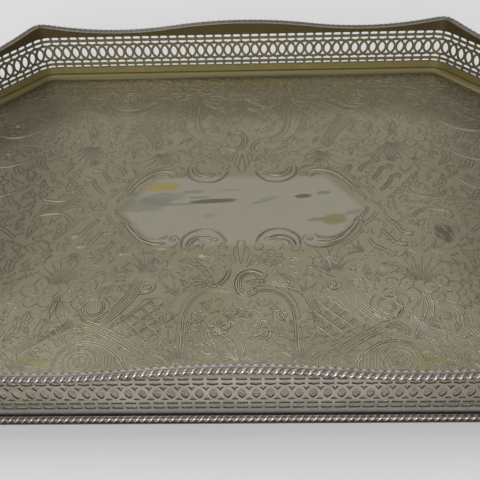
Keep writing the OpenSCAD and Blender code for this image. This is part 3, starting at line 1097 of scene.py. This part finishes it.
def stained(g, where, colour):
    """The plate's colour with the plain middle lighter, and each stain of the image points laid on."""
    left, right = place("reserve_left", FLOOR), place("reserve_right", FLOOR)
    middle = (left + right) / 2
    half = (right - left).length / 2
    x, y, z = g.parts(g.vector("SUBTRACT", where, tuple(middle)))
    across = abs(x) * (1 / half)
    along = abs(y) * (1 / half)
    plain = (1 - (across + along * 0.7).step(0.92, 1.0)) * (1 - along.step(0.36, 0.44))
    colour = g.mix(plain * 0.72, colour, PLAIN)
    for at, size, angle, strength in SHADES:
        mask = spot(g, where, middle + Vector((*at, 0)) * MM, size, angle, SHADE_WAVER)
        colour = g.mix(mask * strength, colour, SHADE)
    for name, (size, angle, tint, strength) in STAINS.items():
        mask = spot(g, where, place(name, FLOOR), size, angle, STAIN_WAVER)
        colour = g.mix(mask * strength, colour, tint)
    return colour


def rope_finish(g):
    """Bright worn ribs with purple-brown tarnish left in the hollows, and painted shade on surfaces that face
    downwards.
    """
    where, x, y, z = object_place(g)
    wear = (top_and_lit_side_share(g) + (g.noise(where, 300) - 0.5) * 0.35).step(0.15, 1.0)
    cloud, worn = clouded(g, where, 45, 3, (0.56, 0.51, 0.45), (0.42, 0.39, 0.35))
    # painted shade: surfaces that face downwards, such as the lower half of the base rope, are darkened
    painted_underside_shade = facing(g, DOWN).step(-0.5, 0.3)
    worn = g.mix(painted_underside_shade * 0.85, worn, (0.105, 0.078, 0.064))
    worn = g.mix(abs(x).step(40 * MM, 180 * MM) * 0.8, worn, (0.24, 0.21, 0.175))
    worn = g.mix(y.step(0, 100 * MM) * 0.8, worn, (0.23, 0.225, 0.18))
    colour = g.mix(wear, (0.052, 0.038, 0.032), worn)
    return look(g, colour, wear * 0.45 + 0.5, 0.4 - wear * 0.18, g.noise(where, 1500))


def floor_finish(g):
    """Tarnished plate, olive in the cove, with painted shade in dark brown on the ledge and rim outside it.
    """
    where, x, y, z = object_place(g)
    cloud, colour = clouded(g, where, 14, 5, (0.205, 0.181, 0.115), (0.250, 0.224, 0.152))
    grain = g.noise(where, 420, 4, 0.7)
    streaks = g.noise(g.node("ShaderNodeMapping", Vector=where, Scale=(30, 700, 30)), 1)
    colour = g.mix((grain - 0.35).step(0.0, 0.5) * 0.4, colour, (0.14, 0.12, 0.08))
    colour = stained(g, where, zoned_tone(g, where, colour))
    cove = (z - FLOOR_Z).step(0.2 * MM, 1.2 * MM)
    colour = g.mix(cove, colour, (0.155, 0.127, 0.036))
    # painted shade: the ledge under the gallery and the outward-facing rim, where the groove between wall and
    # base rope lies in shade
    outer = facing(g, where).step(0.01, 0.05).at_least((z - LEDGE_Z).step(-0.6 * MM, -0.3 * MM))
    colour = g.mix(outer, colour, (0.055, 0.042, 0.035))
    roughness = cloud * 0.1 + 0.21 + cove * 0.25
    return look(g, colour, 0.75 - cove * 0.45, roughness, grain + streaks * 0.5, depth=0.0004)


def chasing_finish(g):
    """Dark tarnish and painted shade on one side of each chased line, polish and a painted highlight on its
    top and other side, softer where the chasing is rubbed down.
    """
    where, x, y, z = object_place(g)
    worn = rubbed(x, y)
    near = 1 - y.step(-150 * MM, -95 * MM)
    polish = worn * 0.14 + near * 0.13 + 0.06
    # painted highlight and painted shade: one side of each chased line takes the light colour and the other
    # the dark
    lit_side_and_top = (top_and_lit_side_share(g) + polish + (g.noise(where, 160) - 0.5) * 0.4).step(0.3, 0.7)
    cloud, bright = clouded(g, where, 14, 5, (0.46, 0.42, 0.32), (0.57, 0.53, 0.42))
    bright = g.mix(worn * 0.85, bright, (0.29, 0.265, 0.2))
    dark = g.mix(worn, (0.075, 0.06, 0.035), (0.195, 0.173, 0.115))
    colour = zoned_tone(g, where, g.mix(lit_side_and_top, dark, bright))
    return look(g, colour, 0.7, worn * 0.16 + 0.28, g.noise(where, 900))


def polished_finish(g):
    """Smooth light metal of the scrolls' bands and of the beads."""
    where, *rest = object_place(g)
    cloud, colour = clouded(g, where, 20, 5, (0.265, 0.24, 0.175), (0.32, 0.295, 0.225))
    return look(g, colour, 0.75, cloud * 0.1 + 0.25, g.noise(where, 700))


def gallery_finish(g, direction):
    """Painted reflection in the colours: grey silver outside, darker yellow-brown inside; a painted highlight
    on the foot outside, brown above the piercing, painted shade in the cut edges.
    """
    where, x, y, z = object_place(g)
    away = facing(g, direction)
    cloud, outside = clouded(g, where, 30, 4, (0.46, 0.435, 0.385), (0.355, 0.335, 0.285))
    mottle = g.noise(where, 260, 4)
    height = z - LEDGE_Z
    band = (z - FASCIA_Z).step(-1.0 * MM, 0.5 * MM)
    outside = g.mix(abs(x).step(40 * MM, 160 * MM) * 0.85, outside, (0.205, 0.183, 0.145))
    # painted highlight: the plain foot band of the outside is made much lighter
    outside = g.mix(1 - height.step(4.0 * MM, 7.0 * MM), outside, (0.72, 0.69, 0.62))
    outside = g.mix(band * 0.65, outside, (0.25, 0.23, 0.2))
    inside = g.mix(band, (0.2, 0.175, 0.092), (0.1, 0.073, 0.026))
    inside = g.mix(1 - height.step(5.0 * MM, 6.5 * MM), inside, (0.3, 0.255, 0.095))
    # painted reflection: the side facing out gets the light grey of the pale floor it mirrors, the side
    # facing in the darker yellow-brown of the tray floor
    colour = g.mix(away.step(-0.25, 0.25), inside, outside)
    colour = g.mix((mottle - 0.4).step(0.0, 0.4) * 0.3, colour, (0.16, 0.14, 0.09))
    # painted shade: the cut edges of the piercing, which face neither out nor in, are made dark brown
    colour = g.mix(1 - abs(away).step(0.25, 0.7), colour, (0.055, 0.042, 0.028))
    return look(g, colour, 0.6, mottle * 0.1 + 0.3, mottle, 0.08)


def plain_finish(g):
    """Silver of the hand-hold rims and feet."""
    where, *rest = object_place(g)
    cloud, colour = clouded(g, where, 60, 4, (0.48, 0.45, 0.39), (0.36, 0.33, 0.27))
    return look(g, colour, 0.8, cloud * 0.1 + 0.25, g.noise(where, 900), 0.08)


def painted(material, *starts):
    for name, node in frame["nodes"].items():
        if name.startswith(starts):
            for slot in node.material_slots:
                slot.material = material


# ---- studio

ROOM_R = 3.2
ROOM_BEND = 0.8
ROOM_H = 1.9
ROOM_SIDES = 48
BEND_PARTS = 6
PAPER = (0.86, 0.86, 0.86, 1.0)
BACKDROP = (0.65, 0.65, 0.65, 1.0)
BACKDROP_SHARE = 0.45
DIRECT_RAYS = (0, 3, 6)
SKY = (0.42, 0.42, 0.425, 1.0)
# place and size in metres, spread in degrees and watts of each; all are aimed at the tray's middle
LAMPS = {
    "back_panel": ((-0.3, 2.0, 2.6), (3.4, 2.2), 180, 20.0),
    "top_panel": ((-0.9, 0.1, 2.2), (1.1, 1.1), 180, 10.0),
    "front_panel": ((-0.3, -2.5, 1.2), (2.2, 1.0), 110, 15.0),
}


def studio_paper():
    """Paper that keeps soft shadows, evened out where camera, gloss or glass sees it."""
    material = bpy.data.materials.new("studio_paper")
    g = emptied(material)
    paper = g.node("ShaderNodeBsdfPrincipled", Base_Color=PAPER, Roughness=0.9)
    even = g.node("ShaderNodeEmission", Color=BACKDROP, Strength=1.0)
    seen, glossy, transmitted = (g.node("ShaderNodeLightPath", output=ray) for ray in DIRECT_RAYS)
    share = seen.at_least(glossy).at_least(transmitted) * BACKDROP_SHARE
    mixed = g.node("ShaderNodeMixShader", None, {0: share, 1: paper, 2: even})
    g.node("ShaderNodeOutputMaterial", Surface=mixed)
    return material


def add_room():
    """A round pale floor that bends up into a low wall."""
    bends = [math.pi / 2 * k / BEND_PARTS for k in range(BEND_PARTS + 1)]
    profile = [
        (ROOM_R - ROOM_BEND * (1 - math.sin(a)), ROOM_BEND * (1 - math.cos(a))) for a in bends
    ]
    profile.append((ROOM_R, ROOM_H))
    rows = len(profile)
    points = [(0, 0, 0)]
    faces = []
    for j in range(ROOM_SIDES):
        turn = 2 * math.pi * j / ROOM_SIDES
        points += [(r * math.cos(turn), r * math.sin(turn), z) for r, z in profile]
        a, b = 1 + j * rows, 1 + (j + 1) % ROOM_SIDES * rows
        faces.append((0, a, b))
        faces += [(a + k, a + k + 1, b + k + 1, b + k) for k in range(rows - 1)]
    mesh = bpy.data.meshes.new("studio_room")
    mesh.from_pydata(points, [], faces)
    mesh.shade_smooth()
    mesh.materials.append(studio_paper())
    paper = added("studio_room", mesh)


def add_sky():
    world = bpy.data.worlds.new("studio")
    bpy.context.scene.world = world
    g = emptied(world)
    background = g.node("ShaderNodeBackground", Color=SKY, Strength=1.0)
    g.node("ShaderNodeOutputWorld", Surface=background)


def add_lamps():
    for name, (at, size, spread, power) in LAMPS.items():
        data = bpy.data.lights.new(name, "AREA")
        data.shape = "RECTANGLE"
        data.size, data.size_y = size
        data.energy = power
        data.spread = math.radians(spread)
        lamp = added(name, data)
        lamp.location = at
        lamp.rotation_euler = (-Vector(at)).to_track_quat("-Z", "Y").to_euler()


# ---- what shows, and where it shows in the image

NEAR_PIXELS = 5


def shows(point):
    """True where nothing stands between the camera and a point of a surface."""
    start = camera.matrix_world.translation
    way = point - start
    depsgraph = bpy.context.evaluated_depsgraph_get()
    clear = way.length - 0.5 * MM
    return not bpy.context.scene.ray_cast(depsgraph, start, way.normalized(), distance=clear)[0]


def rope_extreme(pick, near=None, sides=SIDES):
    """Image place of the showing rope vertex that pick puts first, near a column of the image."""
    found = []
    for side in sides:
        for kind in ROPES:
            mesh = bpy.data.objects[f"{kind}_{side}_rope"].data
            places = ((in_image(v.co), v.co) for v in mesh.vertices)
            found += [(p, co) for p, co in places if 0 <= p[0] <= W and 0 <= p[1] <= H]
    if near is not None:
        found = [(p, co) for p, co in found if abs(p[0] - near) < NEAR_PIXELS]
    for p, co in sorted(found, key=lambda entry: pick(entry[0])):
        if shows(co):
            return p
    return None


def highest(name, *sides):
    return rope_extreme(lambda p: p[1], POINTS[name][0], sides)


def drawn_at(place_of, p):
    return in_image(on_floor(place_of(p)))


def write_points():
    shown = {
        "top_edge_y": rope_extreme(lambda p: p[1]),
        "bottom_edge_y": rope_extreme(lambda p: -p[1]),
        "corner_peak_left": highest("corner_peak_left", "back", "corner_back_left"),
        "corner_peak_right": highest("corner_peak_right", "back", "corner_back_right"),
        "crown_back": highest("crown_back", "back"),
        "crown_front": highest("crown_front", "front"),
        "reserve_left": drawn_at(FRAME[0], FRAME_TIP),
        "reserve_right": drawn_at(FRAME[1], FRAME_TIP),
        "arch_top": drawn_at(FIELD[0], ARCH_TOP),
        **{name: in_image(place(name, FLOOR)) for name in STAINS},
    }
    for name, point in POINTS.items():
        seen = shown[name]
        gaps = {"x": seen[0] - point[0], "y": seen[1] - point[1]} if seen else None
        if gaps and name.endswith("_edge_y"):
            gaps.pop("x")


add_ropes(finish("worn_rope_painted_shade", rope_finish))
add_chasing(drawn(), finish("chased_plate", chasing_finish), finish("polished_scrolls", polished_finish))
painted(finish("tarnished_floor", floor_finish), "floor")
for number, side in enumerate(SIDES):
    outwards = heading(number)
    painted(finish(f"tarnished_{side}", lambda g: gallery_finish(g, outwards)), f"gallery_{side}")
painted(finish("plain_silver", plain_finish), "grip", "foot")
add_room()
add_sky()
add_lamps()
bpy.context.scene.view_settings.view_transform = "Standard"
write_points()
